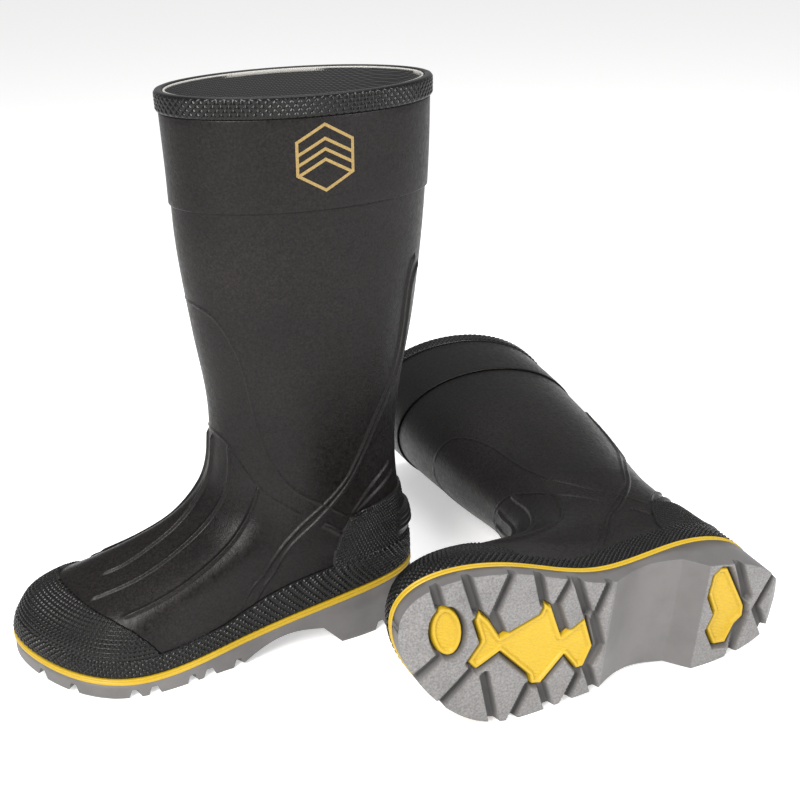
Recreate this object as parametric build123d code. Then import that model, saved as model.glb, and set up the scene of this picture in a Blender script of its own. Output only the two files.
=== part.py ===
"""A pair of waterproof safety knee boots: the left one stands, the right one lies on its outer side.

Each boot is modelled in its own frame, in millimetres: X runs from the heel's back to the toe,
Y to the outer side of the foot, Z up from the ground. The left boot is turned to point along -X.
The right boot is the mirror image, laid down on the three points of its outer side that reach
furthest out: the rim, the ball of the sole and the heel.
"""

import os
from math import cos, pi, radians, sin

from build123d import *

# ---- Overall sizes -------------------------------------------------------------------------
SOLE_LENGTH = 290.0
SOLE_WIDTH = 114.0
BOOT_HEIGHT = 400.0

# ---- Walls and layers ----------------------------------------------------------------------
BOND_GAP = 0.2           # between curved layers that are glued or moulded together
TOE_STEEL = 2.0
TOE_COVER = 2.2          # rubber outside the steel toe
FOOT_WALL = TOE_COVER + TOE_STEEL + 2 * BOND_GAP
SHAFT_WALL = 2.8         # moulded upper around the leg
FLOOR_WALL = 2.0         # moulded upper under the foot
LINING = 1.2             # knitted sock
MIDSOLE = 5.0            # yellow layer under the upper
BOARD = 2.0              # insole board
FOOTBED = 5.0

# ---- Pieces that stand proud of the upper ---------------------------------------------------
GUARD = 1.3              # foxing, toe guard, heel guard and cuff
SOLE_LEDGE = 2.2         # outsole beyond the upper
MIDSOLE_LEDGE = 2.7
BINDING = 2.8
BINDING_HEIGHT = 12.0
BINDING_ROOF = 1.2
CUFF_HEIGHT = 72.0
FOXING_HEIGHT = 20.0
KICK_LEDGE = 6.0
KICK_BOTTOM, KICK_TOP = 66.0, 86.0
PRINT = 0.25             # printed emblem
SEAM_GAP = 0.6           # between the guards' edges

# ---- Tread ---------------------------------------------------------------------------------
GROOVE_DEPTH = 5.0
GROOVE_WIDTH = 7.0
PAD_RECESS = 2.4         # yellow pads above the tread
PAD_GAP = 0.1

# ---- The last: heights and widths that the sizes above are graded from -----------------------
LAST_LENGTH, LAST_WIDTH, LAST_HEIGHT, LAST_ANKLE = 290.0, 114.0, 400.0, 130.0
POINTS_ROUND = 12
# Height, back, front, then half widths at the five pairs of points from heel to toe.
LEVELS = [
    (4, 0, 290, (28, 39, 40, 54, 36)),
    (17, 0, 290, (28, 39, 40, 54, 36)),
    (30, 0, 290, (28, 39, 40, 54, 36)),
    (45, 0, 284, (28, 38, 39, 51, 34)),
    (58, 0, 272, (27, 37, 38, 46, 26)),
    (70, 1, 241, (26, 36, 38, 41, 19)),
    (82, 3, 209, (25, 36, 38, 37, 15)),
    (95, 5, 181, (24, 36, 38, 34, 14)),
    (110, 7, 162, (23, 36, 39, 33, 15)),
    (130, 8, 149, (22, 36, 41, 35, 17)),
    (155, 7, 144, (21, 37, 43, 37, 20)),
    (190, 2, 143, (22, 39, 45, 39, 21)),
    (240, -8, 149, (24, 42, 48, 42, 24)),
    (300, -16, 155, (26, 45, 52, 45, 26)),
    (350, -20, 156, (27, 48, 55, 48, 28)),
    (412, -22, 158, (28, 50, 58, 50, 29)),
]
# How far the foot's middle line leaves the straight, from heel to toe, below the ankle.
TOE_IN = (0, 0, 3, 5, 2, -11, -17)
TOE_IN_FADES = (60, 150)
SOLE_PLAN_AT = 30.0
# The line where the upper meets the sole, from the heel to the toe.
FEATHER = [(-40, 44), (0, 43), (60, 39), (115, 28), (165, 18), (215, 15), (255, 18), (292, 28), (330, 44)]
HEEL_BEVEL = 8.0
HEEL_FRONT = 66.0
ARCH = [(80, 15), (102, 17), (126, 10), (143, 0)]
TOE_SPRING = [(234, 0), (266, 4), (294, 13), (330, 30)]

# ---- Tread plan, X along the foot and Y outwards --------------------------------------------
GROOVES = [
    [(280, -70), (268, -35)],
    [(260, -72), (243, -30)],
    [(216, -72), (231, -26), (222, -8)],
    [(209, -72), (195, -30)],
    [(177, -43), (185, -25), (175, -3)],
    [(172, -43), (160, -16)],
    [(140, -58), (154, -11), (145, 12), (153, 28), (138, 62)],
    [(264, 2), (284, 26)],
    [(241, 14), (264, 44)],
    [(232, 20), (216, 72)],
    [(198, 34), (212, 72)],
    [(188, 34), (172, 72)],
    [(159, 30), (174, 72)],
    [(4, -34), (19, 2), (-2, 38)],
    [(52, -58), (28, -8)],
    [(28, 6), (38, 60)],
]
BALL_PAD = [
    (240, -28), (244, -23), (237, -6), (245, 9), (238, 16), (222, 5), (197, 28), (195, 35),
    (187, 36), (172, 16), (161, 29), (155, 28), (150, 12), (160, -12), (176, 0), (187, -24),
    (193, -28), (196, -20), (223, -7), (232, -20),
]
HEEL_PAD = [
    (56, -35), (61, -30), (62, -14), (54, 1), (58, 14), (49, 29), (38, 29), (33, 14), (27, 8),
    (28, -1), (49, -34),
]
TOE_PAD_AT, TOE_PAD_LONG, TOE_PAD_WIDE, TOE_PAD_TURN = (261, -15), 10.5, 18.5, 12.0

# ---- Inner parts ---------------------------------------------------------------------------
TOE_CAP_BACK = 238.0
CAP_STRIP = 5.0
SHANK_FROM, SHANK_TO, SHANK_WIDE, SHANK_THICK = 62.0, 172.0, 16.0, 1.6
EMBLEM_AT, EMBLEM_SIZE, EMBLEM_LINE = (67, 362), 22.0, 2.2

# ---- Where the lying boot is ---------------------------------------------------------------
LIE_TURN = 3.2
LIE_AT = (151.0, -159.0)
REACH = 150.0            # half the width of a cutting block


def long(x):
    return x * SOLE_LENGTH / LAST_LENGTH


def wide(y):
    return y * SOLE_WIDTH / LAST_WIDTH


def shaft_share():
    return (BOOT_HEIGHT - LAST_ANKLE) / (LAST_HEIGHT - LAST_ANKLE)


def tall(z):
    """Grades a height: the foot keeps its height and the shaft takes what is left."""
    return z if z <= LAST_ANKLE else LAST_ANKLE + (z - LAST_ANKLE) * shaft_share()


def ungraded(z):
    return z if z <= LAST_ANKLE else LAST_ANKLE + (z - LAST_ANKLE) / shaft_share()


def mix(a, b, t):
    return a + (b - a) * min(max(t, 0.0), 1.0)


def smooth(heights, values, z):
    """A smooth curve through a column of the table."""
    i = max(k for k in range(len(heights) - 1) if k == 0 or heights[k] <= z)

    def slope(k):
        low, high = max(k - 1, 0), min(k + 1, len(heights) - 1)
        return (values[high] - values[low]) / (heights[high] - heights[low])

    span = heights[i + 1] - heights[i]
    t = min(max((z - heights[i]) / span, 0.0), 1.0)
    start = (1 + 2 * t) * (1 - t) ** 2 * values[i] + t * (1 - t) ** 2 * span * slope(i)
    return start + t * t * (3 - 2 * t) * values[i + 1] + t * t * (t - 1) * span * slope(i + 1)


def outline(z, foot_inset, shaft_inset):
    """The points of the boot's closed outline at one height, drawn in by an inset."""
    inset = mix(foot_inset, shaft_inset, (ungraded(z) - 82) / (190 - 82))
    height = ungraded(z) + inset
    heights = [level[0] for level in LEVELS]
    back = smooth(heights, [level[1] for level in LEVELS], height)
    front = smooth(heights, [level[2] for level in LEVELS], height)
    low, high = TOE_IN_FADES
    straight = (height - low) / (high - low)
    start, end = long(back) + inset, long(front) - inset
    half = POINTS_ROUND // 2
    outer, inner = [], []
    for i in range(half + 1):
        x = start + (end - start) * (1 - cos(pi * i / half)) / 2
        middle = wide(mix(TOE_IN[i], 0.0, straight))
        width = 0.0
        if 0 < i < half:
            width = wide(smooth(heights, [level[3][i - 1] for level in LEVELS], height)) - inset
        outer.append((x, middle + width))
        inner.append((x, middle - width))
    return inner + outer[-2:0:-1]


def ring_wire(z, foot_inset, shaft_inset):
    points = [Vector(x, y, z) for x, y in outline(z, foot_inset, shaft_inset)]
    steps = [i / POINTS_ROUND for i in range(POINTS_ROUND + 1)]
    return Wire([Edge.make_spline(points, periodic=True, parameters=steps)])


def form(low, high, foot_inset, shaft_inset=None):
    """The boot's outer form between two heights, drawn in by one inset at the foot and one at the shaft."""
    shaft_inset = foot_inset if shaft_inset is None else shaft_inset
    levels = [tall(level[0]) for level in LEVELS]
    halfway = [(a + b) / 2 for a, b in zip(levels, levels[1:])]
    between = [z for z in sorted(levels + halfway) if low + 4 < z < high - 4]
    return Solid.make_loft([ring_wire(z, foot_inset, shaft_inset) for z in [low, *between, high]])


def wall(outside, inside, ends):
    """The wall between two nested forms, open at the given ends: 0 is the bottom and -1 the top."""
    forms = [form.faces().sort_by(Axis.Z) for form in (outside, inside)]
    lips = [Face(forms[0][end].outer_wire(), [forms[1][end].outer_wire()]) for end in ends]
    for faces in forms:
        for end in sorted(ends, reverse=True):
            del faces[end]
    return Solid(Shell([*forms[0], *forms[1], *lips]))


def block(outline):
    """A cutting block: an outline in the XZ plane, as wide as the boot and more."""
    face = Plane.XZ * make_face(outline)
    return extrude(face, amount=REACH, both=True)


def feather(shift):
    return Spline(*[(long(x), z + shift) for x, z in FEATHER])


def above_feather(shift):
    line = feather(shift)
    top = BOOT_HEIGHT + 60
    rest = Polyline(line @ 1, ((line @ 1).X, top), ((line @ 0).X, top), line @ 0)
    return block(line + rest)


def feather_band(low, high):
    bottom, top = feather(low), feather(high)
    return block(bottom + top + Line(bottom @ 0, top @ 0) + Line(bottom @ 1, top @ 1))


def ground(shift):
    """The tread's side profile from heel to toe: heel, arch, ball and toe spring."""
    def at(x, z):
        return (long(x), z + shift)

    heel = Polyline(at(-45, HEEL_BEVEL + 12), at(-2, HEEL_BEVEL), at(8, 0), at(HEEL_FRONT, 0), at(*ARCH[0]))
    arch = Spline(*[at(*p) for p in ARCH])
    ball = Line(at(*ARCH[-1]), at(*TOE_SPRING[0]))
    return heel + arch + ball + Spline(*[at(*p) for p in TOE_SPRING])


def above_ground(shift):
    line = ground(shift)
    start, end, top = line @ 0, line @ 1, 120.0
    return block(line + Polyline(end, (end.X, top), (start.X, top), start))


def outsole_side():
    low, high = ground(0), feather(-MIDSOLE)
    return block(low + high + Line(low @ 0, high @ 0) + Line(low @ 1, high @ 1))


def slab(low, high):
    return Pos(0, 0, (low + high) / 2) * Box(4 * REACH + BOOT_HEIGHT, 2 * REACH, high - low)


def sole_form(ledge):
    """The sole's plan, standing proud of the upper by a ledge."""
    edge = ring_wire(SOLE_PLAN_AT, -ledge, -ledge).edge()
    plan = Face(Wire([edge.trim(0.0, 0.5), edge.trim(0.5, 1.0)]))
    return Pos(0, 0, -20 - SOLE_PLAN_AT) * extrude(plan, amount=100, dir=(0, 0, 1))


def pad_plans(grow):
    """The yellow pads' outlines in the tread."""
    plans = []
    for outline in (BALL_PAD, HEEL_PAD):
        face = make_face(Polyline(*[(long(x), wide(y)) for x, y in outline], close=True))
        plans.append(offset(face, amount=grow, kind=Kind.ARC) if grow else face)
    x, y = TOE_PAD_AT
    oval = Ellipse(TOE_PAD_LONG + grow, TOE_PAD_WIDE + grow)
    plans.append(Pos(long(x), wide(y)) * Rot(0, 0, TOE_PAD_TURN) * oval)
    return plans


def columns(plans):
    return [Pos(0, 0, -10) * extrude(plan, amount=80, dir=(0, 0, 1)) for plan in plans]


def groove_cutters():
    cutters = []
    for path in GROOVES:
        points = [Vector(long(x), wide(y)) for x, y in path]
        for a, b in zip(points, points[1:]):
            run = b - a
            turn = Vector(1, 0, 0).get_signed_angle(run, Vector(0, 0, 1))
            place = Pos(*((a + b) / 2)) * Rot(0, 0, turn)
            cutters.append(place * Box(run.length + GROOVE_WIDTH, GROOVE_WIDTH, 120))
    return cutters


# ---- Zones that the guards cover, in the boot's side view -------------------------------------
def toe_zone(gap=0.0):
    edge = [(190, -10), (196, 34), (254, 71), (258, 120)]
    left = [(long(x) - gap, z) for x, z in edge]
    return block(Polyline(*left, (long(340), 120), (long(340), -10), close=True))


def heel_zone(gap=0.0):
    edge = [(72, -10), (66, 62), (51, 99)]
    right = [(long(x) + gap, z) for x, z in edge]
    return block(Polyline(*right, (long(-60), 106), (long(-60), -10), close=True))


def front_of(x):
    return Pos(x + REACH, 0, 0) * Box(2 * REACH, 2 * REACH, 8 * REACH)


def foot_wall(near, far):
    """A wall of one thickness all round the foot, between two insets."""
    return wall(form(5, 135, near), form(5, 135, far), (0, -1))


def cover(zone):
    """A guard of one thickness that lies on the upper inside a zone."""
    return foot_wall(-BOND_GAP - GUARD, -BOND_GAP) & zone


# ---- Sub-parts of one boot -----------------------------------------------------------------
def cup(top, foot_inset, shaft_inset, floor):
    return form(4, top, foot_inset, shaft_inset) & above_feather(floor)


def upper_shell():
    outside = cup(BOOT_HEIGHT, 0, 0, 0)
    inside = cup(BOOT_HEIGHT, FOOT_WALL, SHAFT_WALL, FLOOR_WALL)
    pocket = foot_wall(TOE_COVER, FOOT_WALL + 1) & above_feather(FLOOR_WALL)
    return wall(outside, inside, (-1,)) - (pocket & front_of(cap_back() - CAP_STRIP - 1))


def cap_back():
    return long(TOE_CAP_BACK)


def toe_shell():
    near = TOE_COVER + BOND_GAP
    return foot_wall(near, near + TOE_STEEL) & above_feather(FLOOR_WALL + BOND_GAP)


def steel_toe_cap():
    return toe_shell() & front_of(cap_back())


def toe_cap_strip():
    strip = toe_shell() & front_of(cap_back() - CAP_STRIP)
    return strip - front_of(cap_back() - BOND_GAP)


def insole_board():
    low = FLOOR_WALL + BOND_GAP
    return form(4, 120, FOOT_WALL + 2 * BOND_GAP) & feather_band(low, low + BOARD)


def lining():
    inset, floor = BOND_GAP, FLOOR_WALL + BOARD + 2 * BOND_GAP
    outside = cup(BOOT_HEIGHT, FOOT_WALL + inset, SHAFT_WALL + inset, floor)
    inset += LINING
    inside = cup(BOOT_HEIGHT, FOOT_WALL + inset, SHAFT_WALL + inset, floor + LINING)
    return wall(outside, inside, (-1,))


def footbed():
    low = FLOOR_WALL + BOARD + LINING + 3 * BOND_GAP
    return form(4, 120, FOOT_WALL + LINING + 2 * BOND_GAP) & feather_band(low, low + FOOTBED)


def shaft_ring(low, high, near, far):
    return wall(form(low, high, near), form(low, high, far), (0, -1))


def rim_binding():
    """The band round the rim, with a roof over the edges of the shell and the lining."""
    low, high = BOOT_HEIGHT - BINDING_HEIGHT, BOOT_HEIGHT + BOND_GAP
    reach = -BOND_GAP - BINDING
    band = shaft_ring(low, high, reach, -BOND_GAP)
    roof = shaft_ring(high, high + BINDING_ROOF, reach, SHAFT_WALL + BOND_GAP + LINING)
    return band + roof


def cuff_band():
    low, high = BOOT_HEIGHT - CUFF_HEIGHT, BOOT_HEIGHT - BINDING_HEIGHT - BOND_GAP
    return shaft_ring(low, high, -BOND_GAP - GUARD, -BOND_GAP)


def emblem():
    size, line = EMBLEM_SIZE, EMBLEM_LINE
    side = size * cos(pi / 6)
    mark = RegularPolygon(size, 6, rotation=30) - RegularPolygon(size - line, 6, rotation=30)
    for rise in (-0.2, 0.1, 0.4):
        foot, peak = size * (rise - 0.25), size * (rise + 0.2)
        reach = side - line / 2
        band = [(-reach, foot), (0, peak), (reach, foot), (reach, foot - line), (0, peak - line), (-reach, foot - line)]
        mark += make_face(Polyline(*band, close=True))
    x, z = EMBLEM_AT
    plan = Plane.XZ * (Pos(long(x), tall(z)) * mark)
    under = 2 * BOND_GAP + GUARD
    low, high = BOOT_HEIGHT - CUFF_HEIGHT, BOOT_HEIGHT - BINDING_HEIGHT
    sheet = shaft_ring(low, high, -under - PRINT, -under)
    return sheet & extrude(plan, amount=REACH, dir=(0, 1, 0))


def toe_guard():
    return cover(toe_zone() & above_feather(BOND_GAP))


def foxing(side):
    half = Pos(0, side * REACH / 2, 0) * Box(8 * REACH, REACH, 8 * REACH)
    band = feather_band(BOND_GAP, FOXING_HEIGHT) - toe_zone(SEAM_GAP) - heel_zone(SEAM_GAP)
    return cover(band & half)


def heel_guard():
    return cover(heel_zone() & above_feather(BOND_GAP))


def kick_off_lug():
    """A crescent ledge at the back of the heel that the other foot pushes down on."""
    x = 22.0
    crescent = Pos(x, 0, 0) * Ellipse(x + KICK_LEDGE, wide(30))
    prism = extrude(crescent, amount=KICK_TOP, dir=(0, 0, 1))
    slope = Polyline((-30, KICK_BOTTOM + 8), (-30, KICK_TOP), (x, KICK_TOP), (x, KICK_BOTTOM), (2, KICK_BOTTOM), close=True)
    return (prism & block(slope)) - form(5, 135, -GUARD - 2 * BOND_GAP)


def outsole():
    body = (sole_form(SOLE_LEDGE) & outsole_side()) - columns(pad_plans(PAD_GAP))
    for cutter in groove_cutters():
        body -= cutter - above_ground(GROOVE_DEPTH)
    return body


def midsole():
    return (sole_form(MIDSOLE_LEDGE) & feather_band(-MIDSOLE, 0)) - shank_form(BOND_GAP)


def tread_pad(which):
    """A yellow pad that fills one of the outsole's windows, up to the yellow layer above."""
    column = columns(pad_plans(0))[which]
    return (column - above_feather(-MIDSOLE)) & above_ground(PAD_RECESS)


def shank_form(gap=0.0):
    """The steel strip under the arch; with a gap, the pocket that it lies in."""
    length = long(SHANK_TO - SHANK_FROM) + 2 * gap
    plan = Pos(long(SHANK_FROM + SHANK_TO) / 2, wide(2)) * SlotOverall(length, SHANK_WIDE + 2 * gap)
    strip = extrude(plan, amount=80, dir=(0, 0, 1))
    return strip & feather_band(-SHANK_THICK - gap, gap * 5)


def one_boot():
    return {
        "upper_shell": upper_shell(),
        "cuff_band": cuff_band(),
        "rim_binding": rim_binding(),
        "toe_guard": toe_guard(),
        "foxing_outer": foxing(1),
        "foxing_inner": foxing(-1),
        "heel_guard": heel_guard(),
        "kick_off_lug": kick_off_lug(),
        "lining": lining(),
        "footbed": footbed(),
        "insole_board": insole_board(),
        "steel_toe_cap": steel_toe_cap(),
        "toe_cap_strip": toe_cap_strip(),
        "shank": shank_form(),
        "midsole": midsole(),
        "tread_pad_ball": tread_pad(0),
        "tread_pad_heel": tread_pad(1),
        "tread_pad_toe": tread_pad(2),
        "outsole": outsole(),
        "emblem": emblem(),
    }


# ---- The pair -----------------------------------------------------------------------------
def outer_supports():
    """The three points of a boot's outer side that it lies on, and the direction they face."""
    rim = [p for z in (BOOT_HEIGHT - BINDING_HEIGHT, BOOT_HEIGHT + BOND_GAP + BINDING_ROOF)
           for p in edge_points(ring_wire(z, -BOND_GAP - BINDING, -BOND_GAP - BINDING))]
    sole = edge_points(ring_wire(SOLE_PLAN_AT, -SOLE_LEDGE, -SOLE_LEDGE))
    ledge = edge_points(ring_wire(SOLE_PLAN_AT, -MIDSOLE_LEDGE, -MIDSOLE_LEDGE))
    ledge_height = min(z for _, z in FEATHER) - MIDSOLE
    sole = [Vector(p.X, p.Y, 0) for p in sole] + [Vector(p.X, p.Y, ledge_height) for p in ledge]
    ball = [p for p in sole if p.X > long(150)]
    heel = [p for p in sole if long(8) < p.X < long(70)]
    facing = Vector(0, 1, 0)
    for _ in range(8):
        points = [max(group, key=lambda p: p.dot(facing)) for group in (rim, ball, heel)]
        facing = (points[1] - points[0]).cross(points[2] - points[0]).normalized()
        facing = facing if facing.Y > 0 else -facing
    return points[2], facing


def edge_points(wire, count=240):
    return [wire.position_at(i / count) for i in range(count)]


def stood(solid):
    """The left boot: standing, toes towards -X."""
    return Rot(0, 0, 180) * solid


def laid(solid):
    """The right boot: the mirror image, lying on its outer side with its sole to the front."""
    point, facing = outer_supports()
    point, facing = Vector(point.X, -point.Y, point.Z), Vector(facing.X, -facing.Y, facing.Z)
    along = (Vector(1, 0, 0) - facing * facing.X).normalized()
    bed = Plane(origin=point, x_dir=along, z_dir=-facing)
    turned = bed.to_local_coords(mirror(solid, about=Plane.XZ))
    return Pos(*LIE_AT, 0) * Rot(0, 0, 180 + LIE_TURN) * turned


def extent(solids):
    boxes = [solid.bounding_box() for solid in solids]
    low = Vector(*[min(getattr(box.min, axis) for box in boxes) for axis in "XYZ"])
    high = Vector(*[max(getattr(box.max, axis) for box in boxes) for axis in "XYZ"])
    return low, high


def rested(solids):
    """Lets a boot down until it touches the ground."""
    low, _ = extent(solids.values())
    return {name: Pos(0, 0, -low.Z) * solid for name, solid in solids.items()}


def main():
    os.makedirs("parts", exist_ok=True)
    boot = one_boot()
    pair = rested({name + "_left": stood(solid) for name, solid in boot.items()})
    pair.update(rested({name + "_right": laid(solid) for name, solid in boot.items()}))
    low, high = extent(pair.values())
    centre = Pos(-(low.X + high.X) / 2, -(low.Y + high.Y) / 2, 0)
    for name, solid in pair.items():
        export_step(centre * solid, f"parts/{name}.step")


main()
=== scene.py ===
from math import pi

import bpy
import numpy as np
from mathutils import Matrix, Vector


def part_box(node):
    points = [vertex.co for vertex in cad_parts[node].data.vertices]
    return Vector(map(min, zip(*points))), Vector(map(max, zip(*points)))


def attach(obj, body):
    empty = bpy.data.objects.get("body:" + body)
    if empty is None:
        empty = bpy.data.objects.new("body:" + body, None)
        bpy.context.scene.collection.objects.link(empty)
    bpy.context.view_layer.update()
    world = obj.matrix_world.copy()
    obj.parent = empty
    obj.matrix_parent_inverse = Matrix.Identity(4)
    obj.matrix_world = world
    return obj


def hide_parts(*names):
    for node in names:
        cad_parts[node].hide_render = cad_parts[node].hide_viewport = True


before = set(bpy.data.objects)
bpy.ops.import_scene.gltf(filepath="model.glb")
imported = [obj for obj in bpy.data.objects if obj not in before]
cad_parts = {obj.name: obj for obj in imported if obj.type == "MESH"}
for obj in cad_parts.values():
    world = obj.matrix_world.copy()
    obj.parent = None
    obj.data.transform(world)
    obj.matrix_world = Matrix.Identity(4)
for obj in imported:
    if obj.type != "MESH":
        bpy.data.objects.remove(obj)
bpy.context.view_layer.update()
MM = 0.001  # the frame is in metres and the boot's form in millimetres

# ------------------------------------------------------------------ the boot's form, in millimetres
# X runs from the heel's back to the toe, Y to the outer side of the foot, Z up.
# Each level is its height, the back's x, the front's x and five half widths from back to front.
LEVELS = [
    (4, 0, 290, 28, 39, 40, 54, 36),
    (17, 0, 290, 28, 39, 40, 54, 36),
    (30, 0, 290, 28, 39, 40, 54, 36),
    (45, 0, 284, 28, 38, 39, 51, 34),
    (58, 0, 272, 27, 37, 38, 46, 26),
    (70, 1, 241, 26, 36, 38, 41, 19),
    (82, 3, 209, 25, 36, 38, 37, 15),
    (95, 5, 181, 24, 36, 38, 34, 14),
    (110, 7, 162, 23, 36, 39, 33, 15),
    (130, 8, 149, 22, 36, 41, 35, 17),
    (155, 7, 144, 21, 37, 43, 37, 20),
    (190, 2, 143, 22, 39, 45, 39, 21),
    (240, -8, 149, 24, 42, 48, 42, 24),
    (300, -16, 155, 26, 45, 52, 45, 26),
    (350, -20, 156, 27, 48, 55, 48, 28),
    (412, -22, 158, 28, 50, 58, 50, 29),
]
# How far the foot's middle line leaves the x axis, from back to front, below the ankle.
TOE_IN = (0, 0, 3, 5, 2, -11, -17)
# Side profiles, (x, z): where the upper meets the sole, the arch's underside, the rise under the toe.
FEATHER = [(-40, 44), (0, 43), (60, 39), (115, 28), (165, 18), (215, 15), (255, 18), (292, 28), (330, 44)]
ARCH = [(80, 15), (102, 17), (126, 10), (143, 0)]
SPRING = [(234, 0), (266, 4), (294, 13), (330, 30)]
HEIGHT = 400.0
CUFF = 72.0  # from the cuff's lower edge to the top
MIDSOLE = 5.0  # thickness of the yellow layer
SOLE_LEDGE = 2.2  # how far the outsole stands out past the upper
SOLE_Z = 30.0  # the level whose outline the soles follow
# The tread in plan: grooves as centre lines, yellow pads as outlines.
GROOVE_W, GROOVE_D = 7.0, 6.0
GROOVES = [
    [(280, -70), (268, -35)], [(260, -72), (243, -30)], [(216, -72), (231, -26), (222, -8)],
    [(209, -72), (195, -30)], [(177, -43), (185, -25), (175, -3)], [(172, -43), (160, -16)],
    [(140, -58), (154, -11), (145, 12), (153, 28), (138, 62)], [(264, 2), (284, 26)], [(241, 14), (264, 44)],
    [(232, 20), (216, 72)], [(198, 34), (212, 72)], [(188, 34), (172, 72)], [(159, 30), (174, 72)],
    [(4, -34), (19, 2), (-2, 38)], [(52, -58), (28, -8)], [(28, 6), (38, 60)],
]
BALL_PAD = [
    (240, -28), (244, -23), (237, -6), (245, 9), (238, 16), (222, 5), (197, 28),
    (195, 35), (187, 36), (172, 16), (161, 29), (155, 28), (150, 12), (160, -12),
    (176, 0), (187, -24), (193, -28), (196, -20), (223, -7), (232, -20),
]
HEEL_PAD = [
    (56, -35), (61, -30), (62, -14), (54, 1), (58, 14), (49, 29),
    (38, 29), (33, 14), (27, 8), (28, -1), (49, -34),
]
TOE_PAD = (261, -15, 10.5, 18.5, 12.0)  # an oval: centre, half sizes, turn in degrees


def cubic(points, at):
    """A natural cubic spline through points, as a function of x."""
    x, y = np.array(points, float).T
    n = len(x)
    h = np.diff(x)
    a, b = np.eye(n), np.zeros(n)
    for i in range(1, n - 1):
        a[i, i - 1:i + 2] = h[i - 1], 2 * (h[i - 1] + h[i]), h[i]
        b[i] = 6 * ((y[i + 1] - y[i]) / h[i] - (y[i] - y[i - 1]) / h[i - 1])
    m = np.linalg.solve(a, b)
    at = np.clip(at, x[0], x[-1])
    k = np.clip(np.searchsorted(x, at) - 1, 0, n - 2)
    d, t, s = h[k], at - x[k], x[k + 1] - at
    return (
        (m[k] * s ** 3 + m[k + 1] * t ** 3) / (6 * d)
        + (y[k] / d - m[k] * d / 6) * s
        + (y[k + 1] / d - m[k + 1] * d / 6) * t
    )


def feather(x):
    """The height where the upper meets the sole."""
    return cubic(FEATHER, x)


def smooth(heights, values, z):
    """The column's smooth curve, the same one that the CAD model uses."""
    last = len(heights) - 1
    k = np.clip(np.searchsorted(heights, z, side="right") - 1, 0, last - 1)
    after = np.minimum(np.arange(last + 1) + 1, last)
    before = np.maximum(np.arange(last + 1) - 1, 0)
    slope = (values[after] - values[before]) / (heights[after] - heights[before])
    span = heights[k + 1] - heights[k]
    t = np.clip((z - heights[k]) / span, 0, 1)
    return (
        (1 + 2 * t) * (1 - t) ** 2 * values[k] + t * (1 - t) ** 2 * span * slope[k]
        + t * t * (3 - 2 * t) * values[k + 1] + t * t * (t - 1) * span * slope[k + 1]
    )


def contour_points(z):
    """The boot's outline at each height as 12 points: back, inner side, front, outer side."""
    table = np.array(LEVELS, float)
    heights = table[:, 0]
    back, front, *widths = [smooth(heights, table[:, i], z) for i in range(1, 8)]
    straight = np.clip((z - 60) / 90, 0, 1)
    points = np.zeros((len(z), 12, 2))
    for i in range(7):
        x = back + (front - back) * (1 - np.cos(pi * i / 6)) / 2
        middle = TOE_IN[i] * (1 - straight)
        width = widths[i - 1] if 0 < i < 6 else 0
        points[:, i] = np.stack([x, middle - width], 1)
        if 0 < i < 6:
            points[:, 12 - i] = np.stack([x, middle + width], 1)
    return points


def periodic(points, count):
    """A smooth closed curve through 12 evenly spaced knots, sampled count times."""
    n = points.shape[1]
    a = 4 * np.eye(n) + np.roll(np.eye(n), 1, 0) + np.roll(np.eye(n), -1, 0)
    second = 6 * (np.roll(points, 1, 1) - 2 * points + np.roll(points, -1, 1))
    m = np.einsum("ij,kjd->kid", np.linalg.inv(a), second)
    t = np.arange(count) * n / count
    k = t.astype(int)
    f = (t - k)[None, :, None]
    p0, p1, m0, m1 = points[:, k], points[:, (k + 1) % n], m[:, k], m[:, (k + 1) % n]
    g = 1 - f
    return g * p0 + f * p1 + ((g ** 3 - g) * m0 + (f ** 3 - f) * m1) / 6


def even(curve, half):
    """The same closed curve with evenly spaced points on each side, heel and toe staying in place."""
    out = []
    n = curve.shape[1]
    closed = np.concatenate([curve, curve[:, :1]], 1)
    for row in closed:
        pieces = []
        for part in (row[: n // 2 + 1], row[n // 2:]):
            d = np.r_[0, np.cumsum(np.hypot(*np.diff(part, axis=0).T))]
            s = np.linspace(0, d[-1], half + 1)[:-1]
            pieces.append(np.stack([np.interp(s, d, part[:, 0]), np.interp(s, d, part[:, 1])], 1))
        out.append(np.concatenate(pieces))
    return np.array(out)


# The form as a table of points: a row for each millimetre of height, a column for each place u
# round the boot. u runs from 0 at the heel along the inner side to 0.5 at the toe, and back to 1.
Z0 = 3.0
COLUMNS = 720
Z_ROWS = np.arange(Z0, 412.01, 1.0)
TABLE = np.zeros((len(Z_ROWS), COLUMNS, 3))
TABLE[:, :, :2] = even(periodic(contour_points(Z_ROWS), 2 * COLUMNS), COLUMNS // 2)
TABLE[:, :, 2] = Z_ROWS[:, None]
ALONG_U = np.roll(TABLE, -1, 1) - np.roll(TABLE, 1, 1)
ALONG_Z = np.gradient(TABLE, axis=0)
NORMALS = np.cross(ALONG_U, ALONG_Z)
NORMALS /= np.linalg.norm(NORMALS, axis=2, keepdims=True)
FLAT = NORMALS.copy()  # the same directions, kept level
FLAT[..., 2] = 0
FLAT /= np.linalg.norm(FLAT, axis=2, keepdims=True)


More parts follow.
